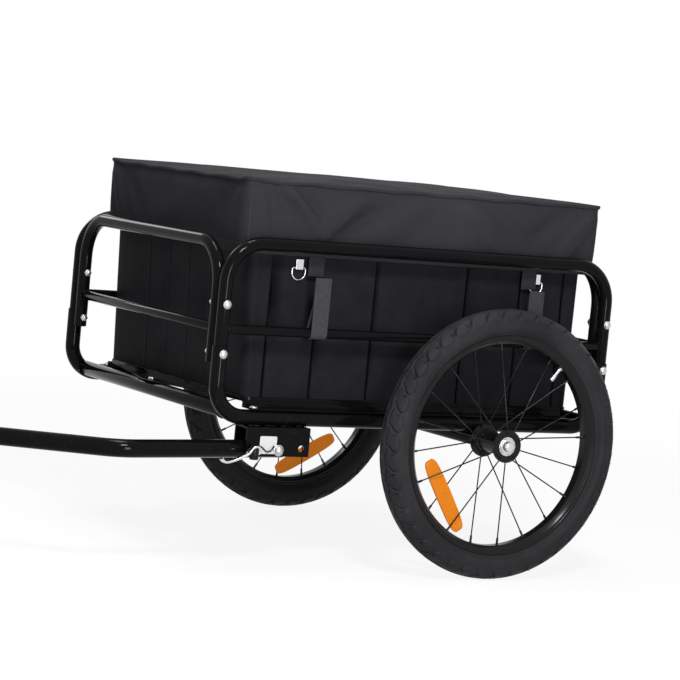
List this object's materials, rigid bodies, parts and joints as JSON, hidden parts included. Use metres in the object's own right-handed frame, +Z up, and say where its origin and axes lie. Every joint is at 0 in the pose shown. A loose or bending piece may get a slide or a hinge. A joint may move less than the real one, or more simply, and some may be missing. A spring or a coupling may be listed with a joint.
{
  "type": "bicycle cargo trailer",
  "caption": "Cargo trailer for a bicycle: bolted tube frame with a covered crate, push-button wheels, lashing rings and a folding drawbar with a pin coupler.",
  "frame": {"origin": "on the ground under the middle of the whole trailer, drawbar included, between its wheels", "axes": "+Z up, +X towards the trailer's left wheel, -Y towards the towing bicycle"},
  "size_m": [0.6804, 1.4002, 0.554],
  "materials": {
    "black_paint": "gloss",
    "bolt_zinc": "satin",
    "bright_steel": "polished",
    "tyre_rubber": "matte",
    "rim_black": "gloss black anodised",
    "crate_plastic": "satin",
    "cover_fabric": "coated weave",
    "strap_webbing": "webbing",
    "reflector_amber": "clear prisms",
    "cord_black": "satin"
  },
  "bodies": {
    "frame": {"left_lower_rail": "black_paint", "right_lower_rail": "black_paint", "left_upper_rail": "black_paint", "right_upper_rail": "black_paint", "front_hoop": "black_paint", "rear_hoop": "black_paint", "front_cross_tube": "black_paint", "rear_cross_tube": "black_paint", "axle_tube": "black_paint", "floor_tray": "black_paint", "crate": "crate_plastic", "hitch_bracket": "black_paint", "pivot_bolt": "bolt_zinc", "left_front_upper_bolt": "bolt_zinc", "left_front_lower_bolt": "bolt_zinc", "left_rear_upper_bolt": "bolt_zinc", "left_rear_lower_bolt": "bolt_zinc", "right_front_upper_bolt": "bolt_zinc", "right_front_lower_bolt": "bolt_zinc", "right_rear_upper_bolt": "bolt_zinc", "right_rear_lower_bolt": "bolt_zinc", "front_tray_bolt": "bolt_zinc", "rear_tray_bolt": "bolt_zinc", "left_tray_bolt": "bolt_zinc", "right_tray_bolt": "bolt_zinc", "left_front_strap_loop": "strap_webbing", "left_rear_strap_loop": "strap_webbing", "right_front_strap_loop": "strap_webbing", "right_rear_strap_loop": "strap_webbing", "left_front_ring_keeper": "bright_steel", "left_rear_ring_keeper": "bright_steel", "right_front_ring_keeper": "bright_steel", "right_rear_ring_keeper": "bright_steel", "left_axle_stub": "bright_steel", "right_axle_stub": "bright_steel"},
    "cover": {"cover": "cover_fabric"},
    "left_wheel": {"left_tyre": "tyre_rubber", "left_rim": "rim_black", "left_hub": "rim_black", "left_outer_bearing": "bright_steel", "left_inner_bearing": "bright_steel", "left_reflector": "reflector_amber"},
    "left_button": {"left_release_button": "bright_steel"},
    "right_wheel": {"right_tyre": "tyre_rubber", "right_rim": "rim_black", "right_hub": "rim_black", "right_outer_bearing": "bright_steel", "right_inner_bearing": "bright_steel", "right_reflector": "reflector_amber"},
    "right_button": {"right_release_button": "bright_steel"},
    "left_front_ring": {"left_front_lashing_ring": "bright_steel"},
    "left_rear_ring": {"left_rear_lashing_ring": "bright_steel"},
    "right_front_ring": {"right_front_lashing_ring": "bright_steel"},
    "right_rear_ring": {"right_rear_lashing_ring": "bright_steel"},
    "drawbar": {"drawbar": "black_paint", "lock_skewer": "bright_steel", "tether_cord": "cord_black"},
    "lock_lever": {"lock_lever": "bright_steel"},
    "hitch_head": {"hitch_head": "black_paint"},
    "hitch_pin": {"hitch_pin": "bolt_zinc"}
  },
  "joints": [
    {"name": "left_wheel_spin", "type": "hinge", "parent": "frame", "child": "left_wheel", "pos_m": [0.309, 0.47469, 0.198], "axis": [1, 0, 0], "continuous": true},
    {"name": "right_wheel_spin", "type": "hinge", "parent": "frame", "child": "right_wheel", "pos_m": [-0.309, 0.47469, 0.198], "axis": [1, 0, 0], "continuous": true},
    {"name": "left_release_press", "type": "slide", "parent": "frame", "child": "left_button", "axis": [-1, 0, 0], "range_m": [0, 0.003], "stiffness_N_per_m": 800, "springref_m": -0.002},
    {"name": "right_release_press", "type": "slide", "parent": "frame", "child": "right_button", "axis": [1, 0, 0], "range_m": [0, 0.003], "stiffness_N_per_m": 800, "springref_m": -0.002},
    {"name": "drawbar_fold", "type": "hinge", "parent": "frame", "child": "drawbar", "pos_m": [0.2413, 0.13669, 0.1747], "axis": [1, 0, 0], "range_deg": [0, 150]},
    {"name": "lock_lever_swing", "type": "hinge", "parent": "drawbar", "child": "lock_lever", "pos_m": [0.2728, 0.0947, 0.17202], "axis": [0, 0, 1], "range_deg": [0, 150]},
    {"name": "hitch_swivel", "type": "hinge", "parent": "drawbar", "child": "hitch_head", "pos_m": [0.08868, -0.64185, 0.15907], "axis": [0, -0.9998, -0.0201], "continuous": true},
    {"name": "hitch_pin_lift", "type": "slide", "parent": "hitch_head", "child": "hitch_pin", "axis": [0, -0.0201, 0.9998], "range_m": [0, 0.04]},
    {"name": "left_front_ring_swing", "type": "hinge", "parent": "frame", "child": "left_front_ring", "pos_m": [0.2202, 0.16469, 0.431], "axis": [0, -1, 0], "range_deg": [0, 90]},
    {"name": "left_rear_ring_swing", "type": "hinge", "parent": "frame", "child": "left_rear_ring", "pos_m": [0.2202, 0.57269, 0.431], "axis": [0, -1, 0], "range_deg": [0, 8]},
    {"name": "right_front_ring_swing", "type": "hinge", "parent": "frame", "child": "right_front_ring", "pos_m": [-0.2202, 0.16469, 0.431], "axis": [0, 1, 0], "range_deg": [0, 90]},
    {"name": "right_rear_ring_swing", "type": "hinge", "parent": "frame", "child": "right_rear_ring", "pos_m": [-0.2202, 0.57269, 0.431], "axis": [0, 1, 0], "range_deg": [0, 8]},
    {"name": "cover_lift", "type": "slide", "parent": "frame", "child": "cover", "axis": [0, 0, 1], "range_m": [0, 0.14]}
  ]
}
